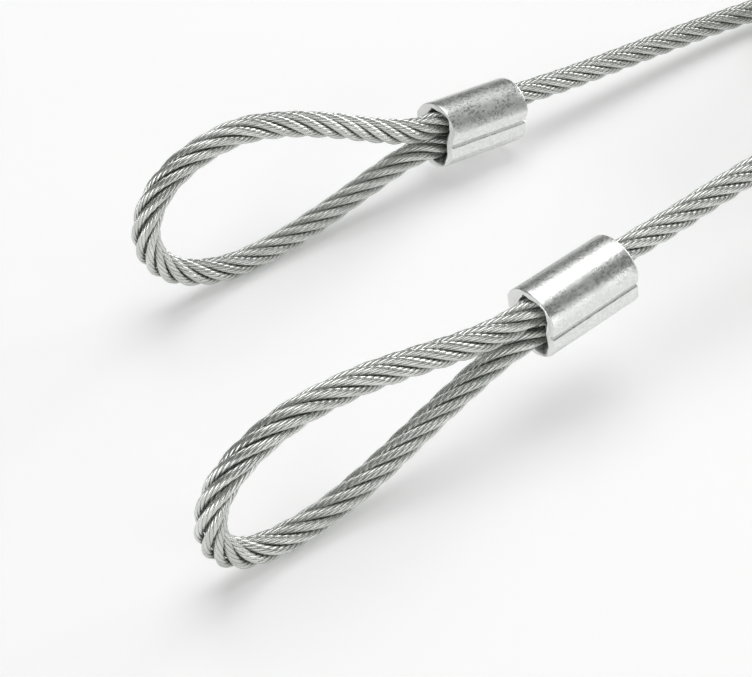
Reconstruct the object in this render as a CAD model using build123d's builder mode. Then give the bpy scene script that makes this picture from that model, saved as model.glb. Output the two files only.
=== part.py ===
"""Wire rope sling with a soft eye at each end, its middle wound into a tied coil.

Millimetres, +Z up, origin at the middle of the footprint on the floor. Both ends point along +X
into the coil. End a is the one at -Y, and end b is the one at +Y. The rope runs from its cut end
in ferrule a round eye a, back through ferrule a, along leg a, down the coil from top to bottom,
along leg b and through ferrule b, round eye b, and ends cut in ferrule b.
"""

import os
from math import cos, pi, radians, sin, tan

from build123d import *

os.makedirs("parts", exist_ok=True)

# ---- driving dimensions ----
rope_diameter = 4.0
end_spacing = 52.0  # between the two eyes' upright planes

# The ferrule: an oval aluminium sleeve pressed over two parallel runs of rope.
ferrule_length = 16.0
ferrule_height = 10.9
flat_half_width = 4.75  # the flattened side, at its outer edges
flat_half_height = 2.1
groove_half_width = 4.6  # the flattened side, where it dips to the groove
groove_half_height = 0.25
groove_depth = 0.45
rope_pitch = 4.2  # between the two runs of rope inside
grip = 0.02  # how far the pressed sleeve bites into the rope, all round
mouth_chamfer = 0.7
edge_chamfer = 0.2
cut_end_inset = 0.6  # the rope's cut end stops this far inside the ferrule's back face
mouth_lead = 5.0  # the rope goes on straight for this long outside a mouth

# Each ferrule's middle, and how far its axis rises towards +X.
ferrule_a_x, ferrule_a_z, ferrule_a_rise = -37.0, 16.6, 5.6
ferrule_b_x, ferrule_b_z, ferrule_b_rise = -10.5, 7.7, -6.4

# The coil: one layer of turns on top of each other, tied at three places.
coil_x = 75.0
coil_radius = 24.0
coil_turns = 4.5
turn_pitch = 4.04
tie_angles = (-50.0, 50.0, 180.0)
tie_width = 2.6
tie_thickness = 1.1
tie_clearance = 0.1
tie_corner = 1.6
head_length, head_depth, head_width = 4.6, 3.4, 4.4
tail_length = 3.0

rope_radius = rope_diameter / 2
coil_foot = tie_thickness + tie_clearance
coil_low = coil_foot + rope_radius
coil_high = coil_low + coil_turns * turn_pitch
coil_top = coil_high + rope_radius


def ferrule_plane(x, y, z, rise):
    """A plane across a ferrule: local x goes along +Y, local y up, and the normal out of the back."""
    slope = radians(rise)
    return Plane(origin=(x, y, z), x_dir=(0, 1, 0), z_dir=(cos(slope), 0, sin(slope)))


plane_a = ferrule_plane(ferrule_a_x, -end_spacing / 2, ferrule_a_z, ferrule_a_rise)
plane_b = ferrule_plane(ferrule_b_x, end_spacing / 2, ferrule_b_z, ferrule_b_rise)


def on_run(plane, run, along):
    """A point on the upper (run 1) or lower (run -1) run of rope through a ferrule."""
    return plane.from_local_coords((0, run * rope_pitch / 2, along))


def bend_radii(points):
    """The largest arc that each corner's two runs leave room for."""
    radii = []
    for before, corner, after in zip(points, points[1:], points[2:]):
        run_in = Vector(*corner) - Vector(*before)
        run_out = Vector(*after) - Vector(*corner)
        half_turn = radians(run_in.get_angle(run_out)) / 2
        radii.append(0.45 * min(run_in.length, run_out.length) / tan(half_turn))
    return radii


def make_rope(name, points):
    """A free stretch of rope: straight runs joined by tangent arcs."""
    corners = [tuple(point) for point in points]
    radii = bend_radii(corners)
    with BuildPart() as rope:
        with BuildLine() as route:
            FilletPolyline(*corners, radius=radii)
        centreline = route.wire()
        with BuildSketch(Plane(origin=centreline @ 0, z_dir=centreline % 0)):
            Circle(rope_radius)
        sweep()
    length = centreline.length
    share = rope.part.volume / (pi * rope_radius**2 * length)
    print(f"{name}: {length:.1f} mm long, volume over section times length {share:.3f}")
    print("  radii", " ".join(f"{radius:.1f}" for radius in radii))
    rope.part.label = name
    export_step(rope.part, f"parts/{name}.step")
    return rope.part, length


def make_gripped_rope(name, plane, run, start, end):
    """A straight stretch of rope held inside a ferrule."""
    with BuildPart() as rope:
        with BuildSketch(Plane(on_run(plane, run, start), z_dir=plane.z_dir)):
            Circle(rope_radius)
        extrude(amount=end - start)
    rope.part.label = name
    export_step(rope.part, f"parts/{name}.step")


def make_ferrule(name, plane):
    """A pressed ferrule: arched top and bottom, flattened sides with a groove along their middle."""
    top = ferrule_height / 2
    with BuildPart() as ferrule:
        with BuildSketch(plane):
            with BuildLine():
                arch = ThreePointArc(
                    (flat_half_width, flat_half_height),
                    (0, top),
                    (-flat_half_width, flat_half_height),
                )
                Polyline(
                    arch @ 1,
                    (-groove_half_width, groove_half_height),
                    (groove_depth - groove_half_width, 0),
                    (-groove_half_width, -groove_half_height),
                    (-flat_half_width, -flat_half_height),
                )
                mirror(about=Plane.YZ)
                ThreePointArc(
                    (-flat_half_width, -flat_half_height),
                    (0, -top),
                    (flat_half_width, -flat_half_height),
                )
            make_face()
            bore_diameter = rope_diameter - 2 * grip
            SlotCenterToCenter(rope_pitch, bore_diameter, rotation=90, mode=Mode.SUBTRACT)
        extrude(amount=ferrule_length / 2, both=True)
        ends = ferrule.faces().sort_by(Axis(plane.origin, plane.z_dir))
        mouths = [wire.edges() for face in (ends[0], ends[-1]) for wire in face.inner_wires()]
        chamfer([edge for edges in mouths for edge in edges], length=mouth_chamfer)
        ends = ferrule.faces().sort_by(Axis(plane.origin, plane.z_dir))
        rims = ends[0].outer_wire().edges() + ends[-1].outer_wire().edges()
        chamfer(rims, length=edge_chamfer)
    ferrule.part.label = name
    export_step(ferrule.part, f"parts/{name}.step")


def section_plane(angle):
    """The upright plane across the coil's ring at an angle: local x outwards, local y up."""
    turn = radians(angle)
    return Plane(
        origin=(coil_x, 0, 0),
        x_dir=(cos(turn), sin(turn), 0),
        z_dir=(sin(turn), -cos(turn), 0),
    )


def make_tie(name, angle):
    """A nylon cable tie round the stack of turns, with its head and cut tail on the outside."""
    plane = section_plane(angle)
    middle = (coil_foot + coil_top) / 2
    inside_width = rope_diameter + 2 * tie_clearance
    inside_height = coil_top - coil_foot + 2 * tie_clearance
    head_x = coil_radius + inside_width / 2 + tie_thickness / 2
    with BuildPart() as tie:
        with BuildSketch(plane):
            with Locations((coil_radius, middle)):
                RectangleRounded(
                    inside_width + 2 * tie_thickness,
                    inside_height + 2 * tie_thickness,
                    tie_corner + tie_thickness,
                )
                RectangleRounded(inside_width, inside_height, tie_corner, mode=Mode.SUBTRACT)
        extrude(amount=tie_width / 2, both=True)
        with BuildSketch(plane):
            with Locations((head_x + head_depth / 2, middle)):
                RectangleRounded(head_depth, head_length, 0.6)
        extrude(amount=head_width / 2, both=True)
        with BuildSketch(plane):
            with Locations((head_x + head_depth / 2, middle + head_length / 2)):
                Rectangle(tie_thickness, 2 * tail_length)
        extrude(amount=tie_width / 2, both=True)
    tie.part.label = name
    export_step(tie.part, f"parts/{name}.step")


# ---- the two ferrules, and the rope that each one grips ----
half = ferrule_length / 2
for end, plane in (("a", plane_a), ("b", plane_b)):
    make_ferrule(f"ferrule_{end}", plane)
    make_gripped_rope(f"live_rope_{end}", plane, 1, -half, half)
    make_gripped_rope(f"cut_end_{end}", plane, -1, -half, half - cut_end_inset)

# ---- the eyes: out of the lower run, round the tip and back into the upper run ----
# Each pair is the distance from the ferrule's middle and the height above the floor.
eye_a_corners = [
    (18.0, 11.6), (26.5, 8.4), (35.5, 4.6), (45.5, 1.8), (57.0, 2.6), (62.5, 9.0),
    (60.5, 17.5), (50.5, 22.5), (38.5, 22.3), (29.0, 20.4), (20.0, 18.3),
]
eye_b_corners = [
    (20.5, 5.7), (29.5, 3.6), (39.0, 2.0), (50.5, 2.0), (60.5, 7.0), (64.0, 15.5),
    (59.0, 23.5), (47.5, 26.3), (37.5, 23.6), (28.0, 19.2), (20.0, 14.7),
]


def eye_route(plane, corners):
    """An eye's points, from the lower run's mouth to the upper run's."""
    middle = plane.origin
    return (
        [on_run(plane, -1, -half), on_run(plane, -1, -half - mouth_lead)]
        + [Vector(middle.X - away, middle.Y, height) for away, height in corners]
        + [on_run(plane, 1, -half - mouth_lead), on_run(plane, 1, -half)]
    )


eye_a, eye_a_length = make_rope("eye_a", eye_route(plane_a, eye_a_corners))
eye_b, eye_b_length = make_rope("eye_b", eye_route(plane_b, eye_b_corners))

# ---- the legs: from each ferrule's back to the coil ----
leg_a_corners = [
    (-18.0, -26.0, 20.2), (-9.0, -26.0, 21.2), (1.0, -26.0, 21.8), (14.0, -26.0, 21.9),
    (29.0, -25.6, 21.7), (45.0, -24.6, 21.5), (60.0, -24.0, 21.4),
]
leg_b_corners = [
    (11.0, 26.0, 7.2), (22.0, 26.0, 6.2), (35.0, 26.0, 5.1), (48.0, 25.5, 4.2), (61.0, 24.4, 3.4),
]
leg_a_points = (
    [on_run(plane_a, 1, half), on_run(plane_a, 1, half + mouth_lead)]
    + [Vector(*corner) for corner in leg_a_corners]
    + [Vector(coil_x, -coil_radius, coil_high)]
)
leg_b_points = (
    [on_run(plane_b, 1, half), on_run(plane_b, 1, half + mouth_lead)]
    + [Vector(*corner) for corner in leg_b_corners]
    + [Vector(coil_x, coil_radius, coil_low)]
)
leg_a, leg_a_length = make_rope("leg_a", leg_a_points)
leg_b, leg_b_length = make_rope("leg_b", leg_b_points)

# ---- the coil: the outer shape of the stacked turns, grooved where the legs run in ----
with BuildPart() as coil:
    with BuildSketch(section_plane(0)):
        with Locations((coil_radius, (coil_foot + coil_top) / 2)):
            RectangleRounded(rope_diameter, coil_top - coil_foot, rope_radius - 0.1)
    revolve(axis=Axis((coil_x, 0, 0), (0, 0, 1)))
    add(leg_a, mode=Mode.SUBTRACT)
    add(leg_b, mode=Mode.SUBTRACT)
coil.part.label = "coil"
export_step(coil.part, "parts/coil.step")

for number, angle in enumerate(tie_angles, start=1):
    make_tie(f"coil_tie_{number}", angle)

# ---- lengths ----
coil_length = coil_turns * 2 * pi * coil_radius
gripped_length = 4 * ferrule_length - 2 * cut_end_inset
rope_length = eye_a_length + eye_b_length + leg_a_length + leg_b_length + coil_length + gripped_length
print(f"coil {coil_length:.1f} mm, whole rope {rope_length:.1f} mm")
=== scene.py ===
"""The wire rope sling's looks: 7x7 galvanised rope, pressed ferrules, cable ties, floor and light.

Lengths are in millimetres and MM turns them into metres. The frame is the CAD model's own.
"""

import math

import bmesh
import bpy
import numpy as np
from mathutils import Euler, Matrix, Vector


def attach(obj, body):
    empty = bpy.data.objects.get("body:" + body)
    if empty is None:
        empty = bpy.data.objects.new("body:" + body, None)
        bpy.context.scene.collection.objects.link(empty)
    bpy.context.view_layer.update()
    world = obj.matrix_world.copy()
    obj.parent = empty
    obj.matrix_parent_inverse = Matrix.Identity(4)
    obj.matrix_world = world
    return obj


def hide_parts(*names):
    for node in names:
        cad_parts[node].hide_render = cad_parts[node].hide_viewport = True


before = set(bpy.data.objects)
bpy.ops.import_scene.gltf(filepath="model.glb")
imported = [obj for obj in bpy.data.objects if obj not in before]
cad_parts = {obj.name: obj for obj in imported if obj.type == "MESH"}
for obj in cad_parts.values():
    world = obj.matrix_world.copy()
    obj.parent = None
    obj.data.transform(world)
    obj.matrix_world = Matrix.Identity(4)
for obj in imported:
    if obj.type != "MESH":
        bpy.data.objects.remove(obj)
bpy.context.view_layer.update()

MM = 0.001

# ---- the rope's route: the points that the CAD model's tubes follow ----
ROPE_DIAMETER = 4.0
END_SPACING = 52.0
FERRULE_LENGTH = 16.0
ROPE_PITCH = 4.2
CUT_END_INSET = 0.6
MOUTH_LEAD = 5.0
FERRULE_A = (-37.0, -END_SPACING / 2, 16.6, 5.6)  # its middle, and its rise towards +X in degrees
FERRULE_B = (-10.5, END_SPACING / 2, 7.7, -6.4)
COIL_X = 75.0
COIL_RADIUS = 24.0
COIL_TURNS = 4.5
COIL_LOW = 3.2
TURN_PITCH = 4.04
POINTS_PER_TURN = 16

EYE_A = [  # distance from the ferrule's middle, and height
    (18.0, 11.6), (26.5, 8.4), (35.5, 4.6), (45.5, 1.8), (57.0, 2.6), (62.5, 9.0),
    (60.5, 17.5), (50.5, 22.5), (38.5, 22.3), (29.0, 20.4), (20.0, 18.3),
]
EYE_B = [
    (20.5, 5.7), (29.5, 3.6), (39.0, 2.0), (50.5, 2.0), (60.5, 7.0), (64.0, 15.5),
    (59.0, 23.5), (47.5, 26.3), (37.5, 23.6), (28.0, 19.2), (20.0, 14.7),
]
LEG_A = [
    (-18.0, -26.0, 20.2), (-9.0, -26.0, 21.2), (1.0, -26.0, 21.8), (14.0, -26.0, 21.9),
    (29.0, -25.6, 21.7), (45.0, -24.6, 21.5), (60.0, -24.0, 21.4),
]
LEG_B = [
    (11.0, 26.0, 7.2), (22.0, 26.0, 6.2), (35.0, 26.0, 5.1), (48.0, 25.5, 4.2), (61.0, 24.4, 3.4),
]


def on_run(ferrule, run, along):
    """A point on the upper (run 1) or lower (run -1) run of rope through a ferrule."""
    x, y, z, rise = ferrule
    slope = math.radians(rise)
    up = run * ROPE_PITCH / 2
    return (
        x + along * math.cos(slope) - up * math.sin(slope),
        y,
        z + along * math.sin(slope) + up * math.cos(slope),
    )


def end_points(ferrule, corners):
    """From a cut end through the lower bore, round the eye and out behind the upper bore."""
    half = FERRULE_LENGTH / 2
    return (
        [on_run(ferrule, -1, half - CUT_END_INSET), on_run(ferrule, -1, -half)]
        + [on_run(ferrule, -1, -half - MOUTH_LEAD)]
        + [(ferrule[0] - away, ferrule[1], height) for away, height in corners]
        + [on_run(ferrule, 1, -half - MOUTH_LEAD), on_run(ferrule, 1, -half)]
        + [on_run(ferrule, 1, half), on_run(ferrule, 1, half + MOUTH_LEAD)]
    )


def coil_points():
    """The coil's control points, just outside its turns, from the top turn to the bottom one."""
    count = round(COIL_TURNS * POINTS_PER_TURN)
    step = 2 * math.pi / POINTS_PER_TURN
    radius = COIL_RADIUS / math.cos(step / 2)
    points = []
    for number in range(count):
        angle = -math.pi / 2 + (number + 0.5) * step
        height = COIL_LOW + TURN_PITCH * COIL_TURNS * (1 - (number + 0.5) / count)
        points.append((COIL_X + radius * math.cos(angle), radius * math.sin(angle), height))
    return points


ROUTE = (
    end_points(FERRULE_A, EYE_A)
    + LEG_A
    + [(COIL_X, -COIL_RADIUS, COIL_LOW + COIL_TURNS * TURN_PITCH)]
    + coil_points()
    + [(COIL_X, COIL_RADIUS, COIL_LOW)]
    + LEG_B[::-1]
    + end_points(FERRULE_B, EYE_B)[::-1]
)


def make_camera():
    """The camera's angle, lens and place."""
    azimuth, elevation, roll = -37.73, 39.76, -1.6
    data = bpy.data.cameras.new("camera")
    data.lens = 93.9
    data.clip_start, data.clip_end = 0.01, 10
    camera = bpy.data.objects.new("camera", data)
    camera.location = Vector((-188.7, -177.1, 186.5)) * MM
    aim = Euler((math.radians(90 - elevation), 0, math.radians(azimuth))).to_matrix()
    camera.rotation_euler = (aim @ Euler((0, 0, math.radians(roll))).to_matrix()).to_euler()
    bpy.context.collection.objects.link(camera)
    bpy.context.scene.camera = camera


make_camera()


# ---- node and mesh helpers ----
def new_material(name, color, roughness, metallic=0.0):
    """A material whose Principled shader is ready to be linked to."""
    material = bpy.data.materials.new(name)
    material.use_nodes = True
    shader = material.node_tree.nodes["Principled BSDF"]
    shader.inputs["Base Color"].default_value = (*color, 1)
    shader.inputs["Roughness"].default_value = roughness
    shader.inputs["Metallic"].default_value = metallic
    return material, material.node_tree, shader


def node(tree, kind, inputs=None, **settings):
    """A node with its settings, its socket values and its links."""
    made = tree.nodes.new(kind)
    for key, value in settings.items():
        setattr(made, key, value)
    for key, value in (inputs or {}).items():
        if isinstance(value, bpy.types.NodeSocket):
            tree.links.new(value, made.inputs[key])
        else:
            made.inputs[key].default_value = value
    return made


def noise(tree, vector, scale, detail=3.0, roughness=0.5):
    """Smooth noise, scale in cells per metre."""
    settings = {"Vector": vector, "Scale": scale, "Detail": detail, "Roughness": roughness}
    return node(tree, "ShaderNodeTexNoise", settings).outputs["Fac"]


def remap(tree, value, low, high, to_low, to_high):
    """A value carried from one range to another, and held inside it."""
    settings = {"Value": value, "From Min": low, "From Max": high, "To Min": to_low, "To Max": to_high}
    return node(tree, "ShaderNodeMapRange", settings).outputs["Result"]


def blend_colors(tree, factor, first, second):
    """Two colours mixed by a factor."""
    made = node(tree, "ShaderNodeMix", data_type="RGBA")
    for socket, value in (("Factor_Float", factor), ("A_Color", first), ("B_Color", second)):
        target = next(each for each in made.inputs if each.identifier == socket)
        if isinstance(value, bpy.types.NodeSocket):
            tree.links.new(value, target)
        else:
            target.default_value = value
    return next(each for each in made.outputs if each.identifier == "Result_Color")


def place(tree):
    """The point in the model's own frame, in metres."""
    return node(tree, "ShaderNodeTexCoord").outputs["Object"]


def loft(sections, closed_loop=False):
    """Vertices and faces of a skin over equal rings of points, capped unless it is a closed loop."""
    count, ring = sections.shape[:2]
    vertices = sections.reshape(-1, 3)
    spans = np.arange(count if closed_loop else count - 1)[:, None]
    around = np.arange(ring)[None, :]
    here, beside = spans * ring + around, spans * ring + (around + 1) % ring
    faces = np.stack([here, beside, beside + ring, here + ring], axis=-1).reshape(-1, 4)
    faces = (faces % (count * ring)).tolist()
    if not closed_loop:
        vertices = np.vstack([vertices, sections[[0, -1]].mean(axis=1)])
        first, last = count * ring, count * ring + 1
        edge = (count - 1) * ring
        for k in range(ring):
            faces.append([first, (k + 1) % ring, k])
            faces.append([last, edge + k, edge + (k + 1) % ring])
    return vertices, faces


def join_shells(shells):
    """Several closed shells as one set of vertices and faces."""
    vertices, faces, spare = [], [], 0
    for shell_vertices, shell_faces in shells:
        vertices.append(shell_vertices)
        faces += [[corner + spare for corner in face] for face in shell_faces]
        spare += len(shell_vertices)
    return np.vstack(vertices), faces


def rounded_ring(half_across, half_up, radius, corner_points):
    """A rounded rectangle, anticlockwise, as pairs across and up."""
    corners = []
    for quarter, (side, level) in enumerate(((1, 1), (-1, 1), (-1, -1), (1, -1))):
        turn = np.linspace(0, math.pi / 2, corner_points) + quarter * math.pi / 2
        across = side * (half_across - radius) + radius * np.cos(turn)
        up = level * (half_up - radius) + radius * np.sin(turn)
        corners.append(np.column_stack([across, up]))
    return np.vstack(corners)


def face_outward(mesh):
    """Turns every face of a mesh of closed shells to the outside."""
    shells = bmesh.new()
    shells.from_mesh(mesh)
    bmesh.ops.recalc_face_normals(shells, faces=shells.faces)
    shells.to_mesh(mesh)
    shells.free()


def make_piece(name, vertices, faces, material, sharp=35.0):
    """A mesh piece on the root body, smooth but for edges sharper than the angle given."""
    mesh = bpy.data.meshes.new(name)
    mesh.from_pydata([tuple(point) for point in vertices], [], faces)
    face_outward(mesh)
    mesh.polygons.foreach_set("use_smooth", [True] * len(mesh.polygons))
    mesh.set_sharp_from_angle(angle=math.radians(sharp))
    mesh.materials.append(material)
    piece = bpy.data.objects.new(name, mesh)
    bpy.context.collection.objects.link(piece)
    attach(piece, "root")
    return piece


# ---- materials ----
def zinc_material():
    """Drawn and galvanised wire: greyish metal, with painted shade that makes it duller and darker
    down between the wires, on the strands' inward sides and on the core strand.
    """
    material, tree, shader = new_material("zinc_wire", (0.58, 0.6, 0.57), 0.3, 1.0)
    where = place(tree)
    # painted shade: the depth attribute darkens the zinc and makes it less metallic down between wires
    # and strands
    depth = node(tree, "ShaderNodeAttribute", attribute_name="depth").outputs["Fac"]
    tone = node(tree, "ShaderNodeAttribute", attribute_name="tone").outputs["Fac"]
    wire = blend_colors(tree, tone, (0.59, 0.605, 0.575, 1), (0.79, 0.8, 0.775, 1))
    blotch = remap(tree, noise(tree, where, 900), 0.35, 0.7, 0.0, 0.5)
    clean = blend_colors(tree, blotch, wire, (0.56, 0.58, 0.55, 1))
    # the painted shade's dark colour, mixed in by depth
    colour = blend_colors(tree, depth, clean, (0.33, 0.344, 0.32, 1))
    tree.links.new(colour, shader.inputs["Base Color"])
    tree.links.new(remap(tree, depth, 0.0, 1.0, 1.0, 0.4), shader.inputs["Metallic"])
    grain = noise(tree, where, 6000, 4.0)
    tree.links.new(remap(tree, grain, 0.3, 0.7, 0.22, 0.32), shader.inputs["Roughness"])
    bump = node(tree, "ShaderNodeBump", {"Strength": 0.15, "Distance": 0.00004, "Height": grain})
    tree.links.new(bump.outputs["Normal"], shader.inputs["Normal"])
    return material


def alloy_material():
    """Pressed aluminium: satin, mottled where the die rubbed it, scratched along, rough where cut."""
    material, tree, shader = new_material("ferrule_alloy", (0.84, 0.845, 0.835), 0.3, 1.0)
    where = place(tree)
    cut = node(tree, "ShaderNodeAttribute", attribute_name="cut").outputs["Fac"]
    along = node(tree, "ShaderNodeMapping", {"Vector": where, "Scale": (70.0, 2600.0, 2600.0)})
    scratch = noise(tree, along.outputs["Vector"], 1.0, 3.0)
    stretched = node(tree, "ShaderNodeMapping", {"Vector": where, "Scale": (0.7, 1.0, 1.0)})
    mottle = noise(tree, stretched.outputs["Vector"], 2600, 5.0, 0.65)
    patch = noise(tree, where, 260, 2.0)
    rubbed = node(
        tree,
        "ShaderNodeMath",
        {
            0: remap(tree, mottle, 0.35, 0.65, 0.2, 0.36),
            1: remap(tree, patch, 0.35, 0.65, 0.0, 0.08),
        },
        operation="ADD",
    ).outputs[0]
    rough = node(
        tree,
        "ShaderNodeMath",
        {0: remap(tree, cut, 0.0, 1.0, 0.0, 0.3), 1: rubbed},
        operation="ADD",
    ).outputs[0]
    tree.links.new(rough, shader.inputs["Roughness"])
    dull = remap(tree, mottle, 0.35, 0.65, 0.0, 1.0)
    colour = blend_colors(tree, dull, (0.69, 0.7, 0.69, 1), (0.87, 0.875, 0.865, 1))
    colour = blend_colors(tree, cut, colour, (0.93, 0.93, 0.92, 1))
    tree.links.new(colour, shader.inputs["Base Color"])
    rub = node(tree, "ShaderNodeBump", {"Strength": 0.7, "Distance": 0.00005, "Height": mottle})
    lines = node(
        tree,
        "ShaderNodeBump",
        {"Strength": 0.25, "Distance": 0.000015, "Height": scratch, "Normal": rub.outputs["Normal"]},
    )
    tree.links.new(lines.outputs["Normal"], shader.inputs["Normal"])
    tree.links.new(remap(tree, cut, 0.0, 1.0, 1.0, 0.35), shader.inputs["Metallic"])
    return material


def nylon_material():
    """Black moulded nylon."""
    material, tree, shader = new_material("tie_nylon", (0.018, 0.018, 0.019), 0.42)
    grain = noise(tree, place(tree), 5000, 3.0)
    tree.links.new(remap(tree, grain, 0.3, 0.7, 0.36, 0.5), shader.inputs["Roughness"])
    bump = node(tree, "ShaderNodeBump", {"Strength": 0.1, "Distance": 0.00005, "Height": grain})
    tree.links.new(bump.outputs["Normal"], shader.inputs["Normal"])
    return material


ZINC = zinc_material()
ALLOY = alloy_material()
NYLON = nylon_material()

# ---- the rope ----
CORE_STRAND = 1.42
OUTER_STRAND = 1.29
STRAND_COUNT = 6
WIRES_ACROSS = 3  # a strand of seven wires: six round one
OUTER_WIRES = 6
WIRE_RELIEF = 0.5  # how much of the groove between two wires the zinc and the pressing leave
ARC_POINTS = 8
ROPE_LAY = 25.0
STRAND_LAY = 5.6
FINE_STEP = 0.42
COIL_STEP = 0.76
TIGHT_BEND = 9.0
SHARPEST_BEND = 1.2  # in units of TIGHT_BEND's: past it the outer strands loosen no further
SLACK_REACH = 4.0  # how far a bend's loosening spreads along the rope
SLACK_STEP = 0.5
SLACK_ALL_ROUND = 0.08  # how far the strands stand off at a bend of TIGHT_BEND's radius
SLACK_OUTSIDE = 0.27  # and how much more on the outside of the bend
CORE_SHARE = 0.9  # how much of SLACK_OUTSIDE the core strand follows
VALLEY_SHADE_SHARE = 0.5  # how much painted shade the grooves between wires get
VALLEY_SHARPNESS = 1.5
INWARD_SHADE_START = 0.36  # where painted shade starts on a strand's inward side, in its radii
# painted shade all over the hidden core strand
CORE_SHADE = 0.8
STRAND_SEED = 7


def route_centreline():
    """Points read from the route's NURBS spline, in millimetres, evenly spaced along it."""
    curve = bpy.data.curves.new("route", "CURVE")
    curve.dimensions = "3D"
    curve.resolution_u = 40
    spline = curve.splines.new("NURBS")
    spline.points.add(len(ROUTE) - 1)
    for point, corner in zip(spline.points, ROUTE):
        point.co = (*(Vector(corner) * MM), 1)
    spline.order_u = 3
    spline.use_endpoint_u = True
    guide = bpy.data.objects.new("route", curve)
    bpy.context.collection.objects.link(guide)
    mesh = bpy.data.meshes.new_from_object(guide)
    line = np.array([vertex.co[:] for vertex in mesh.vertices]) / MM
    bpy.data.objects.remove(guide)
    bpy.data.curves.remove(curve)
    bpy.data.meshes.remove(mesh)
    return line


def along_line(line, steps):
    """The line's points at the given distances from its start."""
    gone = np.concatenate([[0], np.cumsum(np.linalg.norm(np.diff(line, axis=0), axis=1))])
    return np.stack([np.interp(steps, gone, line[:, axis]) for axis in range(3)], axis=1), gone[-1]


def unit(vectors):
    """The same directions at a length of one."""
    return vectors / np.linalg.norm(vectors, axis=-1, keepdims=True)


def steady_frame(points):
    """Tangents and a pair of normals that don't twist about the line."""
    tangents = unit(np.gradient(points, axis=0))
    normals = np.zeros_like(points)
    normal = Vector((0, 1, 0))
    for k, tangent in enumerate(tangents):
        tangent = Vector(tangent)
        normal = (normal - tangent * normal.dot(tangent)).normalized()
        normals[k] = normal
    return tangents, normals, np.cross(tangents, normals)


def wire_outline(diameter, arc_points):
    """A strand's outline: the outsides of its outer wires, as complex numbers round its middle."""
    wire = diameter / WIRES_ACROSS / 2
    middle = wire / math.sin(math.pi / OUTER_WIRES)
    spread = math.pi / 2 + math.pi / OUTER_WIRES
    arc = spread * (2 * np.arange(arc_points) / arc_points - 1)
    one_wire = middle + wire * np.exp(1j * arc)
    turns = np.exp(2j * math.pi * np.arange(OUTER_WIRES) / OUTER_WIRES)
    outline = (turns[:, None] * one_wire[None, :]).ravel()
    reach = np.abs(outline)
    smoother = reach.max() - WIRE_RELIEF * (reach.max() - reach)
    return outline / reach * smoother * (diameter / 2) / smoother.max()


def strand_sections(centres, outward, diameter, turn):
    """Rings round a strand's line, turning with its wires, and the painted shade of each point, from
    how deep it lies.
    """
    outline = wire_outline(diameter, ARC_POINTS)
    turned = outline[None, :] * np.exp(1j * turn)[:, None]
    tangents = unit(np.gradient(centres, axis=0))
    outward = unit(outward - tangents * np.sum(outward * tangents, axis=1, keepdims=True))
    sideways = np.cross(tangents, outward)
    rings = (
        centres[:, None, :]
        + turned.real[:, :, None] * outward[:, None, :]
        + turned.imag[:, :, None] * sideways[:, None, :]
    )
    reach = np.abs(outline)
    # painted shade: darker in the grooves between wires and on the strand's inward side
    groove_shade = ((reach.max() - reach) / (reach.max() - reach.min())) ** VALLEY_SHARPNESS
    inner = np.clip(INWARD_SHADE_START - turned.real / (diameter / 2), 0, 1)
    return rings, np.clip(VALLEY_SHADE_SHARE * groove_shade[None, :] + inner, 0, 1)


def make_strand(name, rings, depth, draw):
    """One strand as a closed skin that keeps each point's depth, for painted shade, and each wire's
    tone.
    """
    vertices, faces = loft(rings)
    strand = make_piece(name, vertices * MM, faces, ZINC, sharp=80)
    tones = np.repeat(draw.uniform(0, 1, OUTER_WIRES), ARC_POINTS)
    tones = np.broadcast_to(tones, depth.shape)
    for label, values in (("depth", depth), ("tone", tones)):
        layer = strand.data.attributes.new(label, "FLOAT", "POINT")
        ends = [values[0].mean(), values[-1].mean()]
        layer.data.foreach_set("value", np.concatenate([values.ravel(), ends]).astype(np.float32))
    return strand


def spread_along(values, steps, reach):
    """Values smoothed along the rope over a distance."""
    even = np.arange(0, steps[-1], SLACK_STEP)
    away = np.arange(-3 * reach, 3 * reach + SLACK_STEP, SLACK_STEP)
    window = np.exp(-0.5 * (away / reach) ** 2)
    window /= window.sum()
    columns = []
    for column in values.T:
        padded = np.pad(np.interp(even, steps, column), len(window) // 2, mode="edge")
        columns.append(np.interp(steps, even, np.convolve(padded, window, "valid")))
    return np.stack(columns, axis=1)


def bend_vectors(points, steps, free):
    """How sharply the rope bends, towards the inside of the bend, one for TIGHT_BEND's radius."""
    tangents = unit(np.gradient(points, steps, axis=0))
    curvature = np.gradient(tangents, steps, axis=0) * TIGHT_BEND
    return spread_along(curvature * free[:, None], steps, SLACK_REACH)


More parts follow.
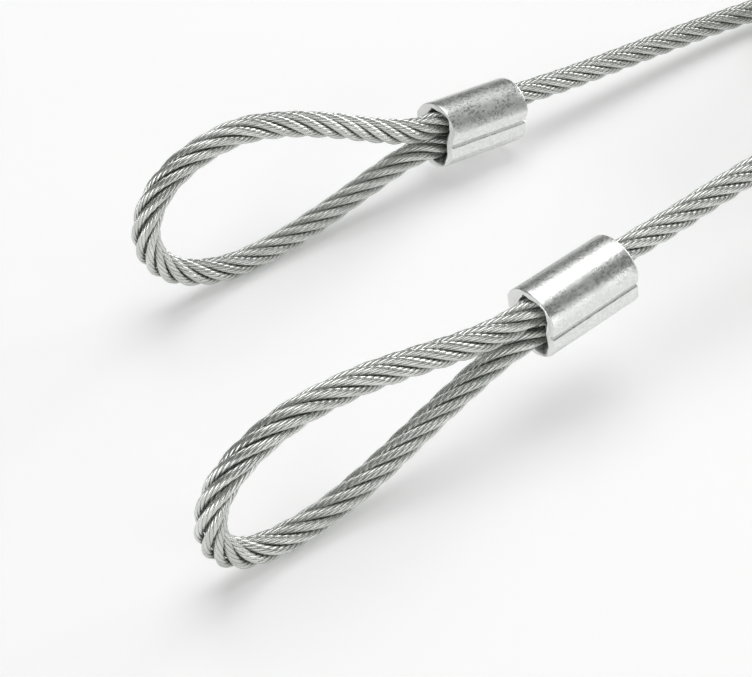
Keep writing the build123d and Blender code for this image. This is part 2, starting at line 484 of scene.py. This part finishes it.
def make_rope():
    """Six strands laid right-hand round a core strand, along the whole route."""
    line = route_centreline()
    whole = along_line(line, [0])[1]
    near_coil = np.hypot(line[:, 0] - COIL_X, line[:, 1]) < COIL_RADIUS + 1
    gone = np.concatenate([[0], np.cumsum(np.linalg.norm(np.diff(line, axis=0), axis=1))])
    coil_start, coil_end = gone[near_coil].min(), gone[near_coil].max()
    steps = np.concatenate([
        np.linspace(0, coil_start, round(coil_start / FINE_STEP), endpoint=False),
        np.linspace(coil_start, coil_end, round((coil_end - coil_start) / COIL_STEP), endpoint=False),
        np.linspace(coil_end, whole, round((whole - coil_end) / FINE_STEP)),
    ])
    points, _ = along_line(line, steps)
    _, normals, binormals = steady_frame(points)
    free = ((steps < coil_start) | (steps > coil_end)).astype(float)
    bends = bend_vectors(points, steps, free)
    slack = SLACK_ALL_ROUND * np.minimum(np.linalg.norm(bends, axis=1), SHARPEST_BEND)
    radius = (CORE_STRAND + OUTER_STRAND) / 2
    draw = np.random.default_rng(STRAND_SEED)
    strands = []
    lay_turn = 2 * math.pi * steps / ROPE_LAY
    wire_turn = -2 * math.pi * steps / STRAND_LAY
    core_points = points - CORE_SHARE * SLACK_OUTSIDE * bends
    core_points[:, 2] = np.maximum(core_points[:, 2], ROPE_DIAMETER / 2)
    rings, _ = strand_sections(core_points, normals, CORE_STRAND, lay_turn)
    # the core strand gets painted shade all over
    core = make_strand("core_strand", rings, np.full(rings.shape[:2], CORE_SHADE), draw)
    for number in range(STRAND_COUNT):
        turn = lay_turn + 2 * math.pi * number / STRAND_COUNT
        outward = np.cos(turn)[:, None] * normals + np.sin(turn)[:, None] * binormals
        outside = np.clip(-np.sum(outward * bends, axis=1), 0, SHARPEST_BEND)
        centres = points + (radius + slack + SLACK_OUTSIDE * outside)[:, None] * outward
        centres[:, 2] = np.maximum(centres[:, 2], OUTER_STRAND / 2)
        phase = draw.uniform(0, 2 * math.pi)
        rings, depth = strand_sections(centres, outward, OUTER_STRAND, wire_turn + phase)
        strands.append(make_strand(f"outer_strand_{number + 1}", rings, depth, draw))
    return points, whole, core, strands


centreline, rope_length, core_strand, outer_strands = make_rope()
ROPE_NODES = (
    "cut_end_a", "eye_a", "live_rope_a", "leg_a", "coil", "leg_b", "live_rope_b", "eye_b", "cut_end_b",
)
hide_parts(*ROPE_NODES)

# ---- the ferrules ----
FLAT_HALF_WIDTH = 4.75
FLAT_HALF_HEIGHT = 2.1
FERRULE_TOP = 5.45
GROOVE_HALF_WIDTH = 4.6
GROOVE_HALF_HEIGHT = 0.36
GROOVE_DEPTH = 0.55
EDGE_ROUND = 0.22
MOUTH_DEPTH = 2.6
MOUTH_FLARE_ACROSS = 1.45  # how much wider each bore is at the face, where the rope leans away
MOUTH_FLARE_LEANT = 0.35  # and on the side that the rope leans on
MOUTH_FLARE_UP = 0.35
WAIST = 1.0  # half of the way between the two bores, deep inside
WAIST_AT_FACE = 3.3
WAIST_CORNER = 0.1  # the smaller, the squarer the waist runs into the bores
BORE_UNDERCUT = 0.42  # how far below its middle each bore's arc starts, in half turns
CUT_WANDER = 0.03  # how uneven the cut faces are
RING_DEPTHS = (0.12, 0.4, 0.8, 1.3, 1.9, 2.6, 3.6)  # the openings' rings, from the face inwards
ARCH_POINTS = 44
FACET_POINTS = 5


def ferrule_outline():
    """Half of the pressed section, from the top down to the groove, then the rest by symmetry."""
    rise = FERRULE_TOP - FLAT_HALF_HEIGHT
    radius = (FLAT_HALF_WIDTH**2 + rise**2) / (2 * rise)
    middle = FERRULE_TOP - radius
    lowest = math.atan2(FLAT_HALF_HEIGHT - middle, FLAT_HALF_WIDTH)
    turn = np.linspace(math.pi / 2, lowest, ARCH_POINTS)
    arch = np.stack([radius * np.cos(turn), middle + radius * np.sin(turn)], axis=1)
    share = np.linspace(0, 1, FACET_POINTS)[1:, None]
    facet_end = np.array([GROOVE_HALF_WIDTH, GROOVE_HALF_HEIGHT])
    facet = arch[-1] + (facet_end - arch[-1]) * share
    lip = facet_end + np.array([[-0.05, -0.06], [-0.2, -0.13], [-0.38, -0.19]])
    floor = np.array([[GROOVE_HALF_WIDTH - GROOVE_DEPTH, 0.04]])
    quarter = np.vstack([arch, facet, lip, floor])
    half = np.vstack([quarter, quarter[::-1] * (1, -1)])
    other = half[1:-1][::-1] * (-1, 1)
    return np.vstack([half, other])


def bore_reach(angles, share, flare_across):
    """How far the opening reaches in each direction: two round bores joined by a waist, belled."""
    turn = np.linspace(-BORE_UNDERCUT * math.pi, math.pi / 2, 60)
    waist = WAIST + (WAIST_AT_FACE - WAIST) * share * flare_across / MOUTH_FLARE_ACROSS
    across = (ROPE_DIAMETER / 2 + flare_across * share) * np.cos(turn)
    up = ROPE_PITCH / 2 + (ROPE_DIAMETER / 2 + MOUTH_FLARE_UP * share) * np.sin(turn)
    across = np.maximum(across, waist * np.cos(turn) ** WAIST_CORNER)
    inside = up > 0
    across, up = np.append(waist, across[inside]), np.append(0, up[inside])
    folded = np.abs(np.arctan2(np.sin(angles), np.abs(np.cos(angles))))
    bearing = np.arctan2(up, across)
    order = np.argsort(bearing)
    return np.interp(folded, bearing[order], np.hypot(across, up)[order])


def make_ferrule(name, ferrule, cad_name, seed):
    """A pressed aluminium sleeve: arched above and below, grooved along its sides, belled mouths."""
    outline = ferrule_outline()
    count = len(outline)
    angles = np.arctan2(outline[:, 1], outline[:, 0])
    inwards = -unit(outline)
    half = FERRULE_LENGTH / 2
    draw = np.random.default_rng(seed)
    rings, rough_cut = [], []

    def add_ring(along, points, cut):
        """One ring of the skin, uneven as far as it is cut."""
        wander = CUT_WANDER * cut * np.convolve(draw.normal(size=count + 8), np.ones(9) / 3, "valid")
        rings.append(np.column_stack([points, np.full(count, along) + wander]))
        rough_cut.append(np.full(count, cut))

    def opening(depth):
        """The opening's ring at a depth from the face."""
        share = max(0.0, 1 - depth / MOUTH_DEPTH) ** 1.5
        open_side = bore_reach(angles, share, MOUTH_FLARE_ACROSS)
        leant_side = bore_reach(angles, share, MOUTH_FLARE_LEANT)
        reach = np.where(np.cos(angles) < 0, open_side, leant_side)
        return np.column_stack([reach * np.cos(angles), reach * np.sin(angles)])

    bends = [math.radians(step) for step in (0, 22, 45, 68, 90)]
    for end in (-1, 1):
        inner = [(end * (half - depth), opening(depth)) for depth in RING_DEPTHS]
        lip = outline + inwards * EDGE_ROUND
        mouth = opening(0)
        rim = [
            (end * (half - 0.04), mouth + unit(mouth) * 0.02),
            (end * half, mouth + unit(mouth) * 0.1),
        ]
        ledge = [(end * half, lip + (mouth - lip) * share) for share in (0.7, 0.45, 0.2)]
        edge = [
            (
                end * (half - EDGE_ROUND * (1 - math.cos(bend))),
                outline + inwards * EDGE_ROUND * (1 - math.sin(bend)),
            )
            for bend in bends
        ]
        profile = inner[::-1] + rim + ledge + edge
        cuts = [0.0] * len(inner) + [0.6, 1.0] + [1.0] * len(ledge) + [0.8, 0.4, 0.0, 0.0, 0.0]
        if end == 1:
            profile, cuts = profile[::-1], cuts[::-1]
        for (along, points), cut in zip(profile, cuts):
            add_ring(along, points, cut)
        if end == -1:
            for along in np.linspace(-half + 1.2, half - 1.2, 12):
                add_ring(along, outline, 0.0)
    rings = np.stack(rings)
    x, y, z, rise = ferrule
    slope = math.radians(rise)
    along, up = rings[:, :, 2], rings[:, :, 1]
    sections = np.stack(
        [
            x + along * math.cos(slope) - up * math.sin(slope),
            y + rings[:, :, 0],
            z + along * math.sin(slope) + up * math.cos(slope),
        ],
        axis=-1,
    )
    vertices, faces = loft(sections, closed_loop=True)
    piece = make_piece(name, vertices * MM, faces, ALLOY, sharp=28)
    layer = piece.data.attributes.new("cut", "FLOAT", "POINT")
    layer.data.foreach_set("value", np.concatenate(rough_cut).astype(np.float32))
    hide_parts(cad_name)


make_ferrule("pressed_ferrule_a", FERRULE_A, "ferrule_a", 3)
make_ferrule("pressed_ferrule_b", FERRULE_B, "ferrule_b", 4)

# ---- the cable ties ----
TIE_ANGLES = (-50.0, 50.0, 180.0)
TIE_WIDTH = 2.6
TIE_THICKNESS = 1.1
TIE_CLEARANCE = 0.1
TIE_CORNER = 1.6
TIE_EDGE = 0.3
HEAD_LENGTH, HEAD_DEPTH, HEAD_WIDTH = 4.6, 3.4, 4.4
HEAD_EDGE = 0.45
SLOT_HALF_DEPTH, SLOT_HALF_WIDTH, SLOT_DEPTH = 0.8, 1.55, 1.3
TAIL_LENGTH = 3.0
RIB_PITCH = 0.55
RIB_HEIGHT = 0.14
COIL_FOOT = TIE_THICKNESS + TIE_CLEARANCE  # the underside of the lowest turn
COIL_TOP = COIL_LOW + COIL_TURNS * TURN_PITCH + ROPE_DIAMETER / 2


def tie_strap(half_height):
    """The strap as a closed loop: across, up and along the rope."""
    half_width = ROPE_DIAMETER / 2 + TIE_CLEARANCE + TIE_THICKNESS / 2
    path = rounded_ring(half_width, half_height, TIE_CORNER + TIE_THICKNESS / 2, 9)
    tangents = unit(np.roll(path, -1, axis=0) - np.roll(path, 1, axis=0))
    outwards = np.column_stack([tangents[:, 1], -tangents[:, 0]])
    profile = rounded_ring(TIE_THICKNESS / 2, TIE_WIDTH / 2, TIE_EDGE, 4)
    flat = path[:, None, :] + profile[None, :, :1] * outwards[:, None, :]
    along = np.broadcast_to(profile[None, :, 1:], (*flat.shape[:2], 1))
    return loft(np.concatenate([flat, along], axis=2), closed_loop=True)


def upright_rings(levels, middle):
    """Level rings stacked up: pairs of a height and a ring across and along."""
    rings = [
        np.column_stack([middle[0] + ring[:, 0], np.full(len(ring), middle[1] + level), ring[:, 1]])
        for level, ring in levels
    ]
    return loft(np.stack(rings)[:, ::-1])


def tie_head(middle):
    """The head: a rounded block with a slot into each end for the strap."""
    half_depth, half_width, half = HEAD_DEPTH / 2, HEAD_WIDTH / 2, HEAD_LENGTH / 2
    slot = rounded_ring(SLOT_HALF_DEPTH, SLOT_HALF_WIDTH, 0.2, 5)
    brim = rounded_ring(SLOT_HALF_DEPTH + 0.15, SLOT_HALF_WIDTH + 0.15, 0.3, 5)
    levels = [(half - SLOT_DEPTH, slot), (half - 0.15, slot), (half, brim)]
    for step in (90, 60, 30, 0):
        bend = math.radians(step)
        inset = HEAD_EDGE * (1 - math.cos(bend))
        ring = rounded_ring(half_depth - inset, half_width - inset, 0.6, 5)
        levels.append((half - HEAD_EDGE * (1 - math.sin(bend)), ring))
    levels += [(-level, ring) for level, ring in levels[::-1]]
    return upright_rings(levels[::-1], middle)


def tie_tail(middle):
    """The cut tail, ribbed across on its outer side."""
    levels = []
    steps = np.arange(-TAIL_LENGTH / 2, HEAD_LENGTH / 2 + TAIL_LENGTH, RIB_PITCH / 4)
    for number, level in enumerate(steps):
        ring = rounded_ring(TIE_THICKNESS / 2, TIE_WIDTH / 2, 0.2, 3)
        if number % 4 in (2, 3):
            ring[:, 0] = np.minimum(ring[:, 0], TIE_THICKNESS / 2 - RIB_HEIGHT)
        levels.append((level, ring))
    return upright_rings(levels, middle)


def make_tie(number, angle):
    """A nylon tie snug about the stacked turns, its head and tail on the outside."""
    gone = (angle + 90) % 360 / 360  # how far the top turn has wound down here, in turns
    left = (COIL_TURNS - gone) % 1  # how far the bottom turn still has to wind down, in turns
    top = COIL_TOP - gone * TURN_PITCH
    foot = COIL_FOOT + left * TURN_PITCH
    middle = (foot + top) / 2
    half_height = (top - foot) / 2 + TIE_CLEARANCE + TIE_THICKNESS / 2
    head_x = ROPE_DIAMETER / 2 + TIE_CLEARANCE + TIE_THICKNESS / 2 + HEAD_DEPTH / 2
    shells = [tie_strap(half_height), tie_head((head_x, 0)), tie_tail((head_x, 0))]
    flat, faces = join_shells(shells)
    turn = math.radians(angle)
    out, level, along = flat[:, 0] + COIL_RADIUS, flat[:, 1] + middle, flat[:, 2]
    vertices = np.column_stack([
        COIL_X + out * math.cos(turn) + along * math.sin(turn),
        out * math.sin(turn) - along * math.cos(turn),
        level,
    ])
    piece = make_piece(f"cable_tie_{number}", vertices * MM, faces, NYLON)
    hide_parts(f"coil_tie_{number}")


for number, angle in enumerate(TIE_ANGLES, start=1):
    make_tie(number, angle)


# ---- floor and light ----
FLOOR_GLOW = 0.2  # what lifts the floor to the near white of a cut-out picture
FLOOR_HALF = 2.0  # metres
ROOM_COLOR = (0.19, 0.195, 0.19, 1)
LIGHT_AIM = (-35, 0, 0)


def make_floor():
    """A plain pale floor."""
    material, _, shader = new_material("floor", (0.93, 0.93, 0.93), 0.8)
    shader.inputs["Specular IOR Level"].default_value = 0.1
    shader.inputs["Emission Color"].default_value = (1, 1, 1, 1)
    shader.inputs["Emission Strength"].default_value = FLOOR_GLOW
    mesh = bpy.data.meshes.new("floor")
    sides = ((-1, -1), (1, -1), (1, 1), (-1, 1))
    corners = [(across * FLOOR_HALF, along * FLOOR_HALF, 0) for across, along in sides]
    mesh.from_pydata(corners, [], [(0, 1, 2, 3)])
    mesh.materials.append(material)
    floor = bpy.data.objects.new("floor", mesh)
    bpy.context.collection.objects.link(floor)


def make_softbox(name, place_mm, width, height, watts):
    """A rectangular soft light that points at LIGHT_AIM."""
    data = bpy.data.lights.new(name, "AREA")
    data.shape = "RECTANGLE"
    data.size, data.size_y = width * MM, height * MM
    data.energy = watts
    light = bpy.data.objects.new(name, data)
    light.location = Vector(place_mm) * MM
    light.rotation_euler = (Vector(LIGHT_AIM) - Vector(place_mm)).to_track_quat("-Z", "Y").to_euler()
    bpy.context.collection.objects.link(light)


def make_world():
    """Even light from the room."""
    world = bpy.data.worlds.new("room")
    world.use_nodes = True
    background = world.node_tree.nodes["Background"]
    background.inputs["Color"].default_value = ROOM_COLOR
    background.inputs["Strength"].default_value = 1.0
    bpy.context.scene.world = world


make_floor()
make_softbox("main", (225, 225, 1350), 1130, 1130, 9.2)
make_softbox("second", (730, 870, 1350), 1100, 620, 1.3)
make_softbox("front", (160, -1095, 270), 950, 400, 2.0)
make_softbox("side", (-1300, -150, 400), 1000, 600, 6.0)
make_softbox("right", (1105, 80, 290), 800, 500, 6.0)
make_world()
bpy.context.scene.view_settings.view_transform = "Standard"
